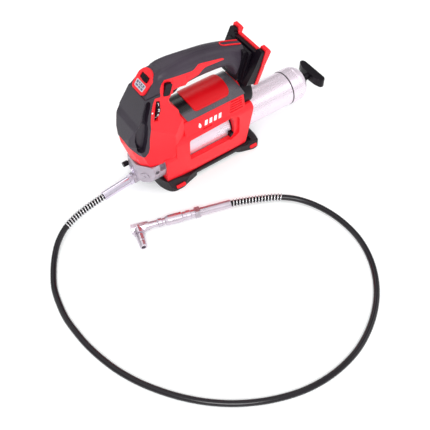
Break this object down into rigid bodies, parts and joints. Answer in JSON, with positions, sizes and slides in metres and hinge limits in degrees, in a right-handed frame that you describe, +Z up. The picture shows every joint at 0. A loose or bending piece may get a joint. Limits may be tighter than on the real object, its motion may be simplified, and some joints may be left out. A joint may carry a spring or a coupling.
{
  "type": "cordless grease gun",
  "caption": "Cordless grease gun with loop handle, empty battery dock, side-window barrel, pull handle and a long floor-laid hose ending in a swivel elbow nozzle.",
  "frame": {"origin": "centre of the tool's footprint on the floor, without the hose, its springs, ferrules, coupler, elbow and nozzle", "axes": "+X along the barrel towards the pull handle, so the pump head and the hose are at -X; +Z up; -Y is the side with the shut-off dial, and the hose is laid out on that side"},
  "size_m": [0.5733, 0.4785, 0.2188],
  "materials": {
    "red_plastic": "satin moulded",
    "black_rubber": "fine-textured overmould",
    "black_plastic": "moulded",
    "cast_aluminium": "bead-blasted casting",
    "barrel_silver": "satin silver",
    "bright_steel": "turned",
    "zinc_steel": "zinc plated",
    "copper": "wound",
    "hose_rubber": "smooth jacket",
    "board_green": "matt",
    "lead_red": "gloss",
    "white_print": "printed",
    "label_grey": "printed label",
    "seal_rubber": "matt",
    "motor_steel": "blackened"
  },
  "bodies": {
    "housing": {"housing_left": "red_plastic", "housing_right": "red_plastic", "housing_screws": "zinc_steel", "grip_overmould": "black_rubber", "front_guard": "black_rubber", "motor_cover": "black_plastic", "badge_panel": "red_plastic", "rear_bumper": "black_rubber", "dock_cover": "black_plastic", "dock_rim": "red_plastic", "terminal_block": "black_plastic", "battery_terminals": "zinc_steel", "skid_base": "black_rubber", "foot_inserts": "red_plastic", "selector_bezel": "red_plastic", "switch_seat": "black_plastic", "selector_plate": "label_grey", "switch_module": "black_plastic", "control_board": "board_green", "power_leads": "lead_red", "motor_can": "motor_steel", "motor_rings": "black_plastic", "crank_bearings": "zinc_steel", "drive_plate": "zinc_steel", "pump_head": "cast_aluminium", "head_bolts": "zinc_steel", "relief_valve": "bright_steel", "check_plug": "zinc_steel", "outlet_fitting": "bright_steel", "hoop_bush": "seal_rubber", "front_ferrule": "bright_steel", "front_spring": "bright_steel", "hose": "hose_rubber", "end_spring": "bright_steel", "end_ferrule": "bright_steel", "coupler_nut": "bright_steel", "coupler_body": "bright_steel", "coupler_collar": "bright_steel"},
    "rotor": {"rotor": "copper", "motor_pinion": "zinc_steel"},
    "crank": {"crank_gear": "zinc_steel", "crank_shaft": "zinc_steel"},
    "piston": {"pump_yoke": "zinc_steel", "pump_piston": "zinc_steel"},
    "trigger": {"trigger": "black_plastic"},
    "lock_button": {"lock_button": "black_plastic"},
    "speed_switch": {"speed_switch": "black_plastic"},
    "shutoff_dial": {"shutoff_dial": "black_plastic", "dial_digits": "white_print"},
    "bleed_valve": {"bleed_valve": "black_plastic"},
    "check_ball": {"check_ball": "zinc_steel"},
    "barrel": {"barrel_tube": "barrel_silver", "barrel_cap": "barrel_silver", "cap_gasket": "seal_rubber", "follower_spring": "zinc_steel"},
    "follower": {"follower": "seal_rubber"},
    "plunger": {"plunger_rod": "bright_steel", "pull_handle": "black_plastic"},
    "elbow": {"elbow_block": "bright_steel", "nozzle": "bright_steel"}
  },
  "joints": [
    {"name": "rotor_spin", "type": "hinge", "parent": "housing", "child": "rotor", "pos_m": [0, 0, 0.1045], "axis": [1, 0, 0], "continuous": true},
    {"name": "crank_turn", "type": "hinge", "parent": "housing", "child": "crank", "pos_m": [-0.12, 0, 0.1297], "axis": [1, 0, 0], "continuous": true},
    {"name": "piston_stroke", "type": "slide", "parent": "housing", "child": "piston", "axis": [0, 0, 1], "range_m": [-0.004, 0.004]},
    {"name": "trigger_pull", "type": "slide", "parent": "housing", "child": "trigger", "axis": [0, 0, 1], "range_m": [0, 0.005], "stiffness_N_per_m": 1500, "springref_m": -0.002},
    {"name": "lock_push", "type": "slide", "parent": "housing", "child": "lock_button", "axis": [0, 1, 0], "range_m": [0, 0.004]},
    {"name": "speed_select", "type": "slide", "parent": "housing", "child": "speed_switch", "axis": [0, 1, 0], "range_m": [0, 0.0065]},
    {"name": "dial_turn", "type": "hinge", "parent": "housing", "child": "shutoff_dial", "pos_m": [-0.1385, -0.0135, 0.1635], "axis": [0.9511, 0, -0.309], "range_deg": [0, 300]},
    {"name": "bleed_press", "type": "slide", "parent": "housing", "child": "bleed_valve", "axis": [1, 0, 0], "range_m": [0, 0.003], "stiffness_N_per_m": 1500, "springref_m": -0.001},
    {"name": "ball_lift", "type": "slide", "parent": "housing", "child": "check_ball", "axis": [0, 0, 1], "range_m": [0, 0.003]},
    {"name": "barrel_unscrew", "type": "hinge", "parent": "housing", "child": "barrel", "pos_m": [0, 0, 0.049], "axis": [1, 0, 0], "continuous": true},
    {"name": "follower_travel", "type": "slide", "parent": "barrel", "child": "follower", "axis": [1, 0, 0], "range_m": [0, 0.19], "deforming": ["follower_spring"]},
    {"name": "handle_turn", "type": "hinge", "parent": "follower", "child": "plunger", "pos_m": [0, 0, 0.049], "axis": [1, 0, 0], "continuous": true},
    {"name": "elbow_swivel", "type": "hinge", "parent": "housing", "child": "elbow", "pos_m": [-0.21964, -0.07908, 0.0084], "axis": [-0.957, 0.29, 0], "continuous": true}
  ],
  "couplings": [
    {"joint": "crank_turn", "follows": "rotor_spin", "ratio": -0.38889}
  ]
}
